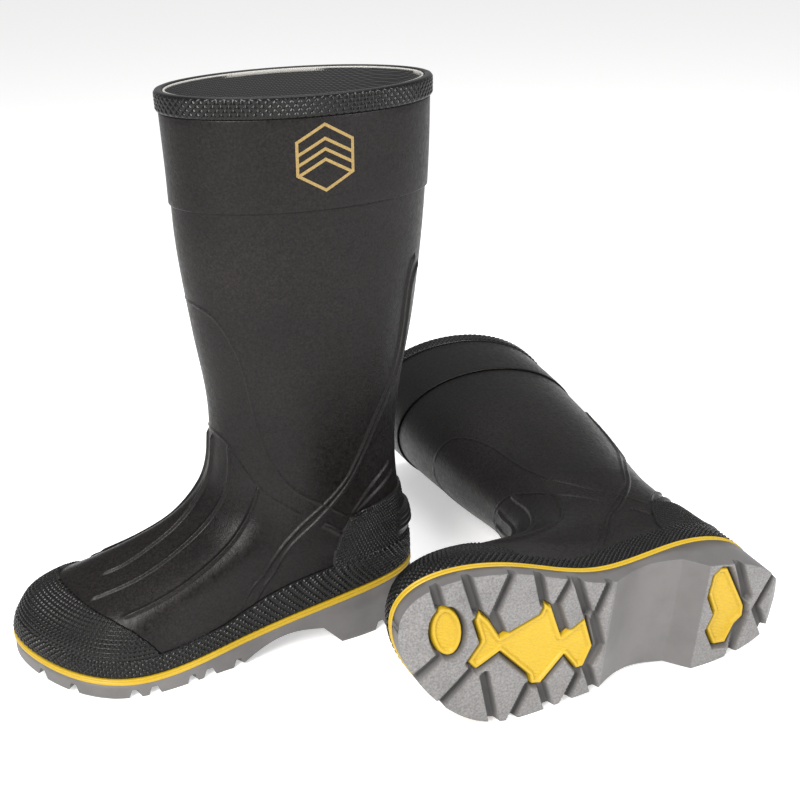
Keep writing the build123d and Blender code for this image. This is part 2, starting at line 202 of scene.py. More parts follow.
def look_up(table, z, u):
    """The table's values at height z and place u, blended between its four nearest entries."""
    z, u = np.broadcast_arrays(np.asarray(z, float), np.asarray(u, float))
    row = np.clip(z - Z0, 0, len(Z_ROWS) - 1.001)
    col = (u % 1.0) * COLUMNS
    i, j = row.astype(int), col.astype(int) % COLUMNS
    a, b = (row - i)[..., None], (col - np.floor(col))[..., None]
    k = (j + 1) % COLUMNS
    below = (1 - b) * table[i, j] + b * table[i, k]
    above = (1 - b) * table[i + 1, j] + b * table[i + 1, k]
    return (1 - a) * below + a * above


def skin(z, u, off=0.0, flat=False):
    """Points on the boot's form at height z and round it by u, pushed out by off."""
    off = np.asarray(off, float)
    return look_up(TABLE, z, u) + look_up(FLAT if flat else NORMALS, z, u) * off[..., None]


PERIMETER = np.linalg.norm(np.roll(TABLE, -1, 1) - TABLE, axis=2).sum(1)


def perimeter(z):
    return np.interp(z, Z_ROWS, PERIMETER)


def ramp(x, low, high):
    """From 0 at low to 1 at high, easing in and out."""
    t = np.clip((x - low) / (high - low), 0, 1)
    return t * t * (3 - 2 * t)


# ------------------------------------------------------------------ meshes
# Where the standing boot's own origin, the back of its heel at the floor, lies in the frame.
OUTSOLE_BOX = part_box("outsole_left")
RIM_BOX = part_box("rim_binding_left")
CX = OUTSOLE_BOX[1].x / MM - SOLE_LEDGE
CY = (RIM_BOX[0].y + RIM_BOX[1].y) / 2 / MM


def to_row(points):
    """From the boot's own frame, in millimetres, to the standing boot in the row's frame, in metres."""
    p = np.asarray(points, float).reshape(-1, 3)
    return np.stack([CX - p[:, 0], CY - p[:, 1], p[:, 2]], 1) * MM


def node_centre(name):
    """The area-weighted centre of a CAD node's surface."""
    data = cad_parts[name].data
    centres = np.zeros(len(data.polygons) * 3)
    areas = np.zeros(len(data.polygons))
    data.polygons.foreach_get("center", centres)
    data.polygons.foreach_get("area", areas)
    return (centres.reshape(-1, 3) * areas[:, None]).sum(0) / areas.sum()


def mirror_matrix():
    """The reflection and turn that take the standing boot to the lying one."""
    names = [n.removesuffix("_left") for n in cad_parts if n.endswith("_left")]
    a = np.array([node_centre(n + "_left") for n in names])
    b = np.array([node_centre(n + "_right") for n in names])
    ca, cb = a.mean(0), b.mean(0)
    u, _, vt = np.linalg.svd((a - ca).T @ (b - cb))
    sign = np.diag([1, 1, -np.sign(np.linalg.det(vt.T @ u.T))])
    rotation = vt.T @ sign @ u.T
    m = np.eye(4)
    m[:3, :3] = rotation
    m[:3, 3] = cb - rotation @ ca
    return m


PAIR = mirror_matrix()
PIECES = []


def make(name, points, faces, material, nodes):
    """Makes the standing boot's piece and its mirror image on the lying boot."""
    base = to_row(points)
    for side, body in (("left", "standing_boot"), ("right", "lying_boot")):
        co = base if side == "left" else base @ PAIR[:3, :3].T + PAIR[:3, 3]
        corners = np.ascontiguousarray(faces if side == "left" else faces[:, ::-1], np.int32)
        size = corners.shape[1]
        data = bpy.data.meshes.new(f"{name}_{side}_look")
        data.vertices.add(len(co))
        data.vertices.foreach_set("co", co.astype(np.float32).ravel())
        data.loops.add(corners.size)
        data.loops.foreach_set("vertex_index", corners.ravel())
        data.polygons.add(len(corners))
        data.polygons.foreach_set("loop_start", np.arange(0, corners.size, size, dtype=np.int32))
        data.polygons.foreach_set("loop_total", np.full(len(corners), size, np.int32))
        data.update(calc_edges=True)
        data.validate()
        data.polygons.foreach_set("use_smooth", np.ones(len(data.polygons), bool))
        local = np.asarray(points, np.float32).reshape(-1, 3) * MM
        stored = data.attributes.new("boot", "FLOAT_VECTOR", "POINT")
        stored.data.foreach_set("vector", local.ravel())
        data.materials.append(material)
        obj = bpy.data.objects.new(f"{name}_{side}_look", data)
        bpy.context.scene.collection.objects.link(obj)
        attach(obj, body)
        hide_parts(*[f"{n}_{side}" for n in nodes])
        PIECES.append(obj)


def grid_faces(rows, cols, wrap_cols=False, wrap_rows=False):
    """The quads of a grid of points, closed on itself where it wraps."""
    r = np.arange(rows if wrap_rows else rows - 1)
    c = np.arange(cols if wrap_cols else cols - 1)
    i, j = np.meshgrid(r, c, indexing="ij")
    i2, j2 = (i + 1) % rows, (j + 1) % cols
    f = np.stack([i * cols + j, i * cols + j2, i2 * cols + j2, i2 * cols + j], -1)
    return f.reshape(-1, 4)


# ------------------------------------------------------------------ materials
def material(name, color, rough, metallic=0.0):
    mat = bpy.data.materials.new(name)
    mat.use_nodes = True
    bsdf = mat.node_tree.nodes["Principled BSDF"]
    bsdf.inputs["Base Color"].default_value = (*color, 1)
    bsdf.inputs["Roughness"].default_value = rough
    bsdf.inputs["Metallic"].default_value = metallic
    return mat, mat.node_tree, bsdf


def node(tree, kind, **inputs):
    """A new node with these values on its inputs."""
    made = tree.nodes.new(kind)
    for key, value in inputs.items():
        made.inputs[key.replace("_", " ")].default_value = value
    return made


def attribute(tree, name, output):
    """What a mesh stores at each point under this name."""
    made = tree.nodes.new("ShaderNodeAttribute")
    made.attribute_name = name
    return made.outputs[output]


def place(tree):
    """The point in the boot's own frame, so that the pattern is the same on both boots."""
    return attribute(tree, "boot", "Vector")


def object_place(tree):
    """The point in the object's frame, for materials that CAD pieces wear too."""
    return tree.nodes.new("ShaderNodeTexCoord").outputs["Object"]


def noise(tree, where, scale, detail=4.0, roughness=0.6):
    made = node(tree, "ShaderNodeTexNoise", Scale=scale, Detail=detail, Roughness=roughness)
    tree.links.new(where, made.inputs["Vector"])
    return made.outputs["Fac"]


def mix_node(tree, a, b, factor=None):
    """Colour a times colour b, or, with a factor output, a blend from the plain colour a to b."""
    made = tree.nodes.new("ShaderNodeMix")
    made.data_type = "RGBA"
    if factor is None:
        made.blend_type = "MULTIPLY"
        made.inputs["Factor"].default_value = 1.0
        tree.links.new(a, made.inputs["A"])
    else:
        tree.links.new(factor, made.inputs["Factor"])
        made.inputs["A"].default_value = (*a, 1)
    tree.links.new(b, made.inputs["B"])
    return made.outputs["Result"]


def product(tree, a, b):
    """One value output times another."""
    made = tree.nodes.new("ShaderNodeMath")
    made.operation = "MULTIPLY"
    tree.links.new(a, made.inputs[0])
    tree.links.new(b, made.inputs[1])
    return made.outputs["Value"]


def ramp_node(tree, factor, stops):
    """A colour ramp with these (position, colour) stops."""
    made = tree.nodes.new("ShaderNodeValToRGB")
    elements = made.color_ramp.elements
    while len(elements) < len(stops):
        elements.new(0.5)
    for element, (at, color) in zip(elements, stops):
        element.position = at
        element.color = (*color, 1)
    tree.links.new(factor, made.inputs["Fac"])
    return made.outputs["Color"]


def bump(tree, bsdf, heights):
    """Chains bumps: each is (height output, strength, distance in metres)."""
    last = None
    for height, strength, distance in heights:
        made = node(tree, "ShaderNodeBump", Strength=strength, Distance=distance)
        tree.links.new(height, made.inputs["Height"])
        if last:
            tree.links.new(last, made.inputs["Normal"])
        last = made.outputs["Normal"]
    tree.links.new(last, bsdf.inputs["Normal"])


def grey(v):
    return (v, v, v)


def rubber(name, dark, light, rough_low, rough_high, grain, fleck, gloss):
    """Moulded rubber: a fine pebbled skin, faint cloudy wear and a satin sheen."""
    mat, tree, bsdf = material(name, dark, rough_low)
    at = place(tree)
    cloud = ramp_node(tree, noise(tree, at, 9.0, 5.0, 0.55), [(0.3, dark), (0.75, light)])
    flecks = ramp_node(tree, noise(tree, at, 620.0, 3.0, 0.75), [(0.36, grey(1 - fleck)), (0.66, grey(1.0))])
    wear = ramp_node(tree, noise(tree, at, 260.0, 4.0, 0.65), [(0.3, grey(rough_low)), (0.72, grey(rough_high))])
    tree.links.new(mix_node(tree, cloud, flecks), bsdf.inputs["Base Color"])
    tree.links.new(wear, bsdf.inputs["Roughness"])
    bump(tree, bsdf, [
        (noise(tree, at, 900.0, 2.0, 0.7), grain, 0.0002),
        (noise(tree, at, 260.0, 3.0, 0.6), grain * 0.7, 0.0004),
        (noise(tree, at, 22.0, 3.0, 0.5), 0.25, 0.0012),
    ])
    bsdf.inputs["Specular IOR Level"].default_value = gloss
    return mat


SHELL = rubber(
    "black_shell_rubber", (0.006, 0.0049, 0.0047), (0.016, 0.0132, 0.0126),
    rough_low=0.3, rough_high=0.5, grain=0.75, fleck=0.85, gloss=0.2,
)
GUARDS = rubber(
    "black_textured_rubber", (0.003, 0.0028, 0.0027), (0.006, 0.0056, 0.0055),
    rough_low=0.22, rough_high=0.34, grain=0.1, fleck=0.4, gloss=0.26,
)
LUG = rubber(
    "black_lug_rubber", (0.004, 0.0038, 0.0037), (0.009, 0.0083, 0.008),
    rough_low=0.3, rough_high=0.42, grain=0.2, fleck=0.5, gloss=0.25,
)
YELLOW = rubber(
    "yellow_rubber", (0.42, 0.268, 0.009), (0.5, 0.33, 0.016),
    rough_low=0.34, rough_high=0.46, grain=0.12, fleck=0.1, gloss=0.35,
)


def outsole_material():
    """Grey rubber, paler and pebbled on the worn tread faces, with painted shade that darkens the grooves."""
    mat, tree, bsdf = material("grey_outsole_rubber", (0.2, 0.19, 0.185), 0.55)
    at = place(tree)
    face = attribute(tree, "tread_face", "Fac")
    groove = attribute(tree, "tread_groove", "Fac")
    fine = ramp_node(tree, noise(tree, at, 620.0, 3.0, 0.8), [(0.38, grey(0.0)), (0.66, grey(1.0))])
    worn = ramp_node(tree, fine, [(0.0, (0.105, 0.101, 0.1)), (1.0, (0.205, 0.199, 0.197))])
    dirt = ramp_node(tree, noise(tree, at, 30.0, 6.0, 0.6), [(0.3, grey(0.82)), (0.6, grey(1.05))])
    # painted shade: the colour in the grooves is darkened to half, standing in for the shade that falls in them
    shade = ramp_node(tree, groove, [(0.2, grey(1.0)), (0.9, grey(0.5))])
    base = mix_node(tree, (0.112, 0.107, 0.106), worn, face)
    tree.links.new(mix_node(tree, mix_node(tree, base, dirt), shade), bsdf.inputs["Base Color"])
    pebble = node(tree, "ShaderNodeTexVoronoi", Scale=520.0)
    tree.links.new(at, pebble.inputs["Vector"])
    bump(tree, bsdf, [
        (product(tree, face, pebble.outputs["Distance"]), 0.5, 0.0005),
        (noise(tree, at, 700.0, 2.0, 0.6), 0.2, 0.0002),
        (noise(tree, at, 40.0, 3.0, 0.5), 0.15, 0.0008),
    ])
    return mat


GREY = outsole_material()


def knit_material(name, dark, light, scale):
    """A knitted lining: rows of stitches with a soft nap."""
    mat, tree, bsdf = material(name, dark, 0.9)
    at = object_place(tree)
    waves = []
    for direction in ("Z", "DIAGONAL"):
        wave = node(tree, "ShaderNodeTexWave", Scale=scale, Distortion=1.5, Detail=2.0)
        wave.bands_direction = direction
        tree.links.new(at, wave.inputs["Vector"])
        waves.append(wave.outputs["Fac"])
    stitches = product(tree, *waves)
    tree.links.new(ramp_node(tree, stitches, [(0.1, dark), (0.7, light)]), bsdf.inputs["Base Color"])
    bump(tree, bsdf, [(stitches, 0.6, 0.0006), (noise(tree, at, 500.0, 3.0, 0.7), 0.4, 0.0004)])
    bsdf.inputs["Sheen Weight"].default_value = 0.15
    return mat


KNIT = knit_material("knit_lining", (0.012, 0.012, 0.013), (0.04, 0.04, 0.042), 260.0)
RAW_KNIT = knit_material("raw_knit_edge", (0.3, 0.29, 0.27), (0.75, 0.74, 0.7), 500.0)


def grained_material(name, dark, light, rough, scale, metallic=0.0):
    """A plain material with one fine grain in its colour, roughness and relief."""
    mat, tree, bsdf = material(name, dark, rough, metallic)
    at = object_place(tree)
    grain = noise(tree, at, scale, 5.0, 0.65)
    dull = ramp_node(tree, grain, [(0.3, grey(rough - 0.06)), (0.7, grey(rough + 0.08))])
    tree.links.new(ramp_node(tree, grain, [(0.3, dark), (0.7, light)]), bsdf.inputs["Base Color"])
    tree.links.new(dull, bsdf.inputs["Roughness"])
    bump(tree, bsdf, [(noise(tree, at, scale * 3, 3.0, 0.6), 0.3, 0.0003)])
    return mat


STEEL = grained_material("pressed_steel", (0.42, 0.43, 0.45), (0.58, 0.59, 0.61), 0.38, 120.0, 1.0)
BOARD = grained_material("fibre_board", (0.36, 0.28, 0.18), (0.52, 0.43, 0.3), 0.85, 300.0)
FOAM = grained_material("footbed_textile", (0.02, 0.02, 0.024), (0.055, 0.055, 0.06), 0.9, 700.0)
STRIP = grained_material("soft_strip_rubber", (0.02, 0.02, 0.02), (0.04, 0.04, 0.04), 0.6, 200.0)
GOLD = grained_material("gold_print", (0.2, 0.13, 0.038), (0.3, 0.205, 0.07), 0.42, 900.0, 0.25)

# CAD pieces that are shown as they are.
CARRIED = {
    "lining": KNIT,
    "footbed": FOAM,
    "insole_board": BOARD,
    "steel_toe_cap": STEEL,
    "toe_cap_strip": STRIP,
    "shank": STEEL,
    "emblem": GOLD,
}
for name, mat in CARRIED.items():
    for side in ("left", "right"):
        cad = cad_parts[f"{name}_{side}"]
        cad.data.materials.clear()
        cad.data.materials.append(mat)


# ------------------------------------------------------------------ upper with its moulded ribs
# Each moulded line is (place round the boot, height); the inner side has the same lines mirrored.
SWOOSH = [
    [
        (0.940, 284), (0.920, 274), (0.913, 254), (0.913, 233), (0.909, 209), (0.892, 188),
        (0.870, 172), (0.848, 155), (0.824, 138), (0.806, 127), (0.774, 113), (0.750, 102),
        (0.741, 90), (0.752, 76), (0.767, 60), (0.763, 38),
    ],
    [
        (0.962, 277), (0.938, 268), (0.930, 252), (0.931, 229), (0.930, 206), (0.909, 186),
        (0.884, 170), (0.859, 153), (0.833, 136), (0.811, 123), (0.787, 110), (0.768, 98),
        (0.758, 87), (0.768, 74), (0.782, 60), (0.779, 42),
    ],
]
SHIN = [
    (0.500, 263), (0.520, 263), (0.546, 261), (0.569, 256), (0.585, 247), (0.597, 236),
    (0.605, 225), (0.611, 210), (0.615, 195), (0.624, 177), (0.645, 156), (0.673, 140),
    (0.714, 126), (0.770, 114), (0.805, 106), (0.838, 98),
]
ANKLE = [
    (0.500, 169), (0.530, 167), (0.560, 162), (0.587, 152),
    (0.614, 140), (0.643, 129), (0.686, 119), (0.745, 106),
]
VAMP = [
    [
        (0.516, 166), (0.515, 152), (0.515, 138), (0.516, 125), (0.518, 112),
        (0.524, 100), (0.533, 89), (0.541, 80), (0.543, 74), (0.536, 69.5),
    ],
    [
        (0.563, 162), (0.566, 148), (0.568, 134), (0.569, 120), (0.571, 106), (0.575, 95),
        (0.581, 86), (0.586, 77), (0.584, 70), (0.576, 64), (0.570, 61.5),
    ],
    [
        (0.634, 133), (0.636, 119), (0.640, 103), (0.646, 91), (0.650, 81),
        (0.651, 73), (0.648, 66), (0.640, 60.5), (0.626, 55.5),
    ],
]
HEEL_TICKS = [
    [(0.926, 130), (0.880, 120), (0.855, 111), (0.838, 101)],
    [(0.940, 121), (0.898, 114), (0.870, 108), (0.845, 101)],
]
TAB = [(0.790, 97), (0.814, 92), (0.838, 86)]
# Each line with its height and half width.
RIBS = [
    *[(line, 1.5, 1.9) for line in SWOOSH],
    (SHIN, 0.6, 1.2),
    (ANKLE, 0.6, 1.2),
    (VAMP[0], 1.9, 2.3),
    (VAMP[1], 1.9, 2.3),
    (VAMP[2], 1.7, 2.3),
    *[(line, 1.3, 1.7) for line in HEEL_TICKS],
    (TAB, 1.3, 2.4),
]


REACH = 4  # no line is felt further away than this
CHUNK = 4000  # points measured at a time, to bound the memory


def rib_curve(line, outer):
    """A smooth line on the boot's skin."""
    p = np.array(line, float)
    t = np.arange(len(p))
    fine = np.linspace(0, len(p) - 1, 500)
    u = cubic(list(zip(t, p[:, 0])), fine)
    z = cubic(list(zip(t, p[:, 1])), fine)
    return skin(z, u if outer else 1 - u)


def rib_heights(points):
    """How far the moulded lines stand out of the upper at each point."""
    out = np.zeros(len(points))
    for line, height, half in RIBS:
        for outer in (True, False):
            curve = rib_curve(line, outer)
            low, high = curve.min(0) - REACH, curve.max(0) + REACH
            near = np.flatnonzero(((points > low) & (points < high)).all(1))
            for start in range(0, len(near), CHUNK):
                some = near[start:start + CHUNK]
                squared = ((points[some][:, None] - curve[None]) ** 2).sum(2)
                k = squared.argmin(1)
                along = k / (len(curve) - 1)
                fade = ramp(along, 0, 0.04) * (1 - ramp(along, 0.94, 1))
                away = np.sqrt(squared[np.arange(len(some)), k])
                rise = height * fade * np.cos(np.clip(away / half, 0, 1) * pi / 2) ** 2
                out[some] = np.maximum(out[some], rise)
    return out


SPLIT = 150.0  # the row where the upper's two meshes meet


def upper_part(name, z):
    """One mesh of the upper, from the heights of its rows of points."""
    rows, cols = z.shape
    u = np.broadcast_to(np.arange(cols) / cols, z.shape)
    surface = skin(z, u)
    height = rib_heights(surface.reshape(-1, 3)).reshape(z.shape)
    surface = surface + look_up(NORMALS, z, u) * height[..., None]
    make(name, surface, grid_faces(rows, cols, wrap_cols=True), SHELL, ["upper_shell"])


def upper():
    """The moulded upper, in two meshes that meet at one row of points above the ankle."""
    cols = 600
    level = 52  # below this the rows slant to follow the sole
    ribs_end = 292  # above this the upper is plain and its rows lie further apart
    u = np.arange(cols) / cols
    start = feather(skin(SOLE_Z, u)[:, 0]) - 1.5
    foot = [start * (1 - t) + level * t for t in np.linspace(0, 1, 38)]
    foot += [np.full(cols, v) for v in np.linspace(level, SPLIT, 124)[1:]]
    upper_part("upper_foot", np.array(foot))
    shaft = np.r_[np.linspace(SPLIT, ribs_end, 142), np.linspace(ribs_end, HEIGHT - 0.2, 20)[1:]]
    upper_part("upper_shaft", np.repeat(shaft[:, None], cols, 1))


def ring(name, profile, cols, mat, nodes, relief=None):
    """A closed band round the boot. The profile is a loop of (height, offset) in millimetres."""
    heights, offsets = np.array(profile).T
    u = np.arange(cols) / cols
    z = np.repeat(heights[:, None], cols, 1)
    off = np.repeat(offsets[:, None], cols, 1)
    if relief is not None:
        off = off + relief(z, np.broadcast_to(u, z.shape))
    faces = grid_faces(len(profile), cols, wrap_cols=True, wrap_rows=True)
    make(name, skin(z, u, off), faces, mat, nodes)


def diamonds(a, b, pitch):
    """Raised diamonds with cut grooves between them, from 0 to 1."""
    s, t = (a + b) / pitch, (a - b) / pitch
    s, t = 1 - 2 * np.abs(s - np.floor(s) - 0.5), 1 - 2 * np.abs(t - np.floor(t) - 0.5)
    return ramp(np.minimum(s, t), 0.0, 0.55)


def squares(a, b, pitch):
    """Raised squares with cut grooves between them, from 0 to 1."""
    s, t = a / pitch, b / pitch
    s, t = 1 - 2 * np.abs(s - np.floor(s) - 0.5), 1 - 2 * np.abs(t - np.floor(t) - 0.5)
    return ramp(np.minimum(s, t), 0.05, 0.7)


def cuff():
    """The smooth band that thickens the top of the leg."""
    low, high = HEIGHT - CUFF, HEIGHT - 12.2
    profile = [(low + 0.5, 0.2), (low, 0.5), (low, 1.1), (low + 0.4, 1.45), (low + 1.0, 1.5)]
    profile += [(z, 1.5) for z in np.linspace(low + 8, high - 1, 9)]
    profile += [(high, 1.3), (high, 0.2), ((low + high) / 2, 0.2)]
    ring("cuff_band", profile, 480, SHELL, ["cuff_band"])


def binding():
    """The knurled binding over the rim, and the cut edge of the lining inside it."""
    low, high, face = HEIGHT - 12.0, HEIGHT + 1.4, 2.5
    profile = [(low + 0.3, 0.2), (low, 0.9), (low, 1.9), (low + 0.4, face)]
    profile += [(z, face) for z in np.linspace(low + 0.9, high - 1.6, 17)]
    profile += [(high - 0.9, face), (high - 0.3, 2.1), (high, 1.2)]
    profile += [(high, -1.4), (high - 0.4, -2.3), (high - 1.1, -2.7)]
    profile += [(HEIGHT + 0.25, -2.2), (HEIGHT + 0.25, 0.15)]
    pitch = 5.0
    count = round(perimeter(HEIGHT) / pitch)
    outside = np.array([off == face for _, off in profile])[:, None]

    def knurl(z, u):
        on = ramp(z, low + 0.6, low + 1.4) * (1 - ramp(z, high - 1.8, high - 1.0))
        return 0.75 * diamonds(u * count * pitch, z, pitch) * on * outside

    ring("rim_binding", profile, 1440, GUARDS, ["rim_binding"], knurl)
    edge = [
        (HEIGHT - 2.0, -3.05), (HEIGHT + 0.1, -3.05), (HEIGHT + 0.7, -3.3),
        (HEIGHT + 0.7, -3.9), (HEIGHT + 0.1, -4.3), (HEIGHT - 2.0, -4.3),
    ]

    def frayed(z, u):
        return 0.18 * np.sin(u * 2 * pi * 310) * np.sin(u * 2 * pi * 47 + z)

    ring("lining_edge", edge, 960, RAW_KNIT, [], frayed)


def band_height(x):
    """How far the knurled band stands above the line where the upper meets the sole."""
    return np.interp(x, [0, 60, 100, 120, 137, 153, 190, 290], [22, 24.5, 25, 23, 19.5, 16, 14.5, 15])


def contour_band(name, rows, mat, nodes):
    """A closed band whose rows of points follow the line where the upper meets the sole."""
    faces = grid_faces(len(rows), len(rows[0]), wrap_cols=True, wrap_rows=True)
    make(name, np.array(rows), faces, mat, nodes)


def foxing():
    """The knurled band round the foot just above the sole."""
    pitch, face, cols = 4.6, 1.35, 1200
    count = round(perimeter(40) / pitch)
    # Each row is (rise as a share of the band's height, offset).
    profile = [(0.02, 0.2), (0.01, 0.8), (0.02, 1.3)] + [(r, face) for r in np.linspace(0.04, 0.95, 30)]
    profile += [(0.98, 1.3), (1.0, 0.9), (1.005, 0.2), (0.5, 0.15)]
    u = np.arange(cols) / cols
    x0 = skin(SOLE_Z, u)[:, 0]
    rows = []
    for share, off in profile:
        x = skin(feather(x0) + share * band_height(x0), u)[:, 0]
        top = band_height(x)
        rise = share * top
        knurl = np.zeros(cols)
        if off == face:
            on = ramp(rise, 0.6, 1.6) * (1 - ramp(rise, top - 1.7, top - 0.9))
            knurl = 1.35 * diamonds(u * count * pitch, rise, pitch) * on
        rows.append(skin(feather(x) + rise, u, off + knurl))
    contour_band("foxing_band", rows, GUARDS, ["foxing_outer", "foxing_inner"])


def guard_mesh(name, u, z, pitch, depth, around):
    """A thin guard with a fine grid of raised squares, its edges drawn down to the upper."""
    edge, base = 1.2, 1.35  # the width that is drawn down, and the thickness inside it
    points = skin(z, u)
    along = np.r_[np.zeros((1, u.shape[1])), np.cumsum(np.linalg.norm(np.diff(points, axis=0), axis=2), 0)]
    across = np.c_[np.zeros(len(u)), np.cumsum(np.linalg.norm(np.diff(points, axis=1), axis=2), 1)]
    to_edge = np.minimum(along + 2.0, along[-1:] - along)
    to_edge = np.minimum(to_edge, np.minimum(across, across[:, -1:] - across))
    lift = 0.1 + (base - 0.1) * ramp(to_edge, 0, edge)
    lift = lift + depth * squares(u * around, along, pitch) * ramp(to_edge, edge * 0.7, edge * 1.5)
    make(name, skin(z, u, lift), grid_faces(*u.shape), GUARDS, [name])


def band_top(x):
    """Just under the knurled band's upper edge, where a guard starts."""
    return feather(x) + band_height(x) - 0.6


def toe_guard():
    """The cap over the toe: all that lies in front of a line in side view."""
    line = np.array([
        (190, -10), (200, 30), (208, 41), (217, 49), (229, 55), (247, 60.5), (262, 66), (280, 75),
    ], float)
    limit = 84
    u = np.linspace(0.265, 0.735, 640)
    low = band_top(skin(42.0, u)[:, 0])
    heights = np.arange(20, limit + 0.01, 0.5)[:, None]
    behind = skin(heights, u[None])[..., 0] < np.interp(heights, line[:, 1], line[:, 0])
    leaves = behind & (heights > low[None] + 0.3)
    high = np.where(leaves.any(0), heights[np.argmax(leaves, 0), 0], limit)
    keep = high > low + 0.2
    u, low, high = u[keep], low[keep], high[keep]
    t = np.linspace(0, 1, 110)[:, None]
    z = low[None] * (1 - t) + high[None] * t
    guard_mesh("toe_guard", np.broadcast_to(u, z.shape), z, 3.1, 0.9, perimeter(50))


def heel_guard():
    """The patch round the heel: each row runs between the guard's two slanting front edges."""
    rows, cols = 96, 420
    t = np.linspace(0, 1, rows)[:, None]
    reach = np.interp(t, [0, 0.35, 0.7, 0.93, 1], [0.139, 0.155, 0.165, 0.163, 0.150])
    u = np.linspace(-1, 1, cols)[None] * reach
    low = band_top(skin(50.0, u)[..., 0])
    high = np.interp(np.abs(u), [0, 0.05, 0.12, 0.17], [105.5, 104.5, 103, 100.5])
    z = low * (1 - t) + high * t
    guard_mesh("heel_guard", u, z, 2.6, 0.75, perimeter(70))


def kick_lug():
    """The ribbed ledge at the back of the heel."""
    low, high, half, pitch = 65, 91, 0.056, 4.2
    z, u = np.meshgrid(np.linspace(low, high, 80), np.linspace(-half, half, 160), indexing="ij")
    up = ramp(z, low + 0.5, 75) * (1 - ramp(z, 84.5, high - 0.5))
    side = np.sqrt(np.clip(1 - (u / 0.0555) ** 2, 0, 1))
    ribs = 0.5 * np.cos((z - low) * 2 * pi / pitch) * up
    off = 1.2 + (4.2 * up + ribs) * side
    make("kick_off_lug", skin(z, u, off), grid_faces(*u.shape), LUG, ["kick_off_lug"])


# ------------------------------------------------------------------ soles
def stripe():
    """The yellow layer's edge: two soft beads, the lower one the wider."""
    lower, upper_share, cols = 0.62, 0.38, 720
    rise = np.linspace(-MIDSOLE, 0, 21)
    in_lower = rise < -MIDSOLE * upper_share
    phase = pi * (rise + MIDSOLE) / (MIDSOLE * np.where(in_lower, lower, upper_share))
    bead = np.abs(np.sin(phase - np.where(in_lower, 0, pi * lower / upper_share)))
    profile = [(r, 1.9 + b ** 0.6) for r, b in zip(rise, bead)] + [(0, -3.0), (-MIDSOLE, -3.0)]
    u = np.arange(cols) / cols
    joint = feather(skin(SOLE_Z, u)[:, 0])
    rows = []
    for height, off in profile:
        row = skin(SOLE_Z, u, np.full(cols, off), flat=True)
        row[:, 2] = joint + height
        rows.append(row)
    contour_band("midsole", rows, YELLOW, ["midsole"])


def segment_distance(p, path):
    """How far each point is from a line of straight parts."""
    best = np.full(p.shape[:-1], 1e9)
    for a, b in zip(path, path[1:]):
        a, b = np.array(a, float), np.array(b, float)
        t = np.clip(((p - a) @ (b - a)) / ((b - a) @ (b - a)), 0, 1)
        best = np.minimum(best, np.linalg.norm(p - a - t[..., None] * (b - a), axis=-1))
    return best


def inside_distance(p, outline):
    """How far inside a closed outline a point is; negative outside."""
    closed = [*outline, outline[0]]
    d = segment_distance(p, closed)
    odd = np.zeros(p.shape[:-1], bool)
    for a, b in zip(closed, closed[1:]):
        if a[1] == b[1]:
            continue
        crosses = (a[1] > p[..., 1]) != (b[1] > p[..., 1])
        x = a[0] + (p[..., 1] - a[1]) * (b[0] - a[0]) / (b[1] - a[1])
        odd ^= crosses & (p[..., 0] < x)
    return np.where(odd, d, -d)


def toe_oval():
    """The toe pad's outline."""
    x, y, a, b, turn = TOE_PAD
    t = np.linspace(0, 2 * pi, 40, endpoint=False)
    c, s = np.cos(np.radians(turn)), np.sin(np.radians(turn))
    return [(x + a * np.cos(v) * c - b * np.sin(v) * s, y + a * np.cos(v) * s + b * np.sin(v) * c) for v in t]


PADS = {"tread_pad_ball": BALL_PAD, "tread_pad_heel": HEEL_PAD, "tread_pad_toe": toe_oval()}


def spring(x):
    """How far the tread rises off the floor under the toe."""
    return np.where(x > 234, cubic(SPRING, np.maximum(x, 234)), 0.0)


def ground(x):
    """The tread's side profile."""
    heel = np.interp(x, [-6, -2, 8, 66, 80], [8.6, 8, 0, 0, 15])
    arch = cubic(ARCH, np.clip(x, 80, 143))
    return np.where(x <= 80, heel, np.where(x < 143, arch, spring(x)))


def tread(p):
    """The outsole's lower surface, how much of it is a worn tread face and how much lies in a groove."""
    x = p[..., 0]
    cut = np.zeros(x.shape)
    for path in GROOVES:
        d = segment_distance(p, path)
        cut = np.maximum(cut, np.clip((GROOVE_W / 2 + 0.4 - d) / 1.9, 0, 1))
    deep = np.zeros(x.shape)
    for outline in PADS.values():
        e = inside_distance(p, outline)
        cut = np.maximum(cut, np.clip((2.3 + e) / 1.9, 0, 1))
        deep = np.maximum(deep, np.clip(e / 0.8, 0, 1))
    base = ground(x)
    level = np.where(x > 143, spring(x), np.where(x < 70, base, 0))
    z = np.maximum(base, level + GROOVE_D * cut)
    z = np.minimum(z, feather(x) - MIDSOLE - 1)
    flat = ((x > 140) | (x < 66)) * (1 - np.clip(cut * 2, 0, 1))
    return z + deep * 3.0, flat, cut * (level < feather(x) - 12)


def outsole_plan():
    """The tread's points in plan: rows across the outsole from heel to toe, closer at both ends."""
    count, inset, bend = 3600, 0.05, 0.12
    edge = skin(SOLE_Z, np.arange(count) / count, np.full(count, SOLE_LEDGE), flat=True)[:, :2]
    toe = int(edge[:, 0].argmax())
    inner, outer = edge[: toe + 1], np.r_[edge[toe:], edge[:1]][::-1]
    low, high = edge[:, 0].min(), edge[:, 0].max()
    t = np.linspace(0, 1, 380)
    x = low + inset + (high - low - 2 * inset) * (t - bend * np.sin(2 * pi * t) / (2 * pi))
    y_inner = np.interp(x, inner[:, 0], inner[:, 1])[:, None]
    y_outer = np.interp(x, outer[:, 0], outer[:, 1])[:, None]
    v = np.linspace(0, 1, 168)
    return np.stack(np.broadcast_arrays(x[:, None], y_inner * (1 - v) + y_outer * v), -1)


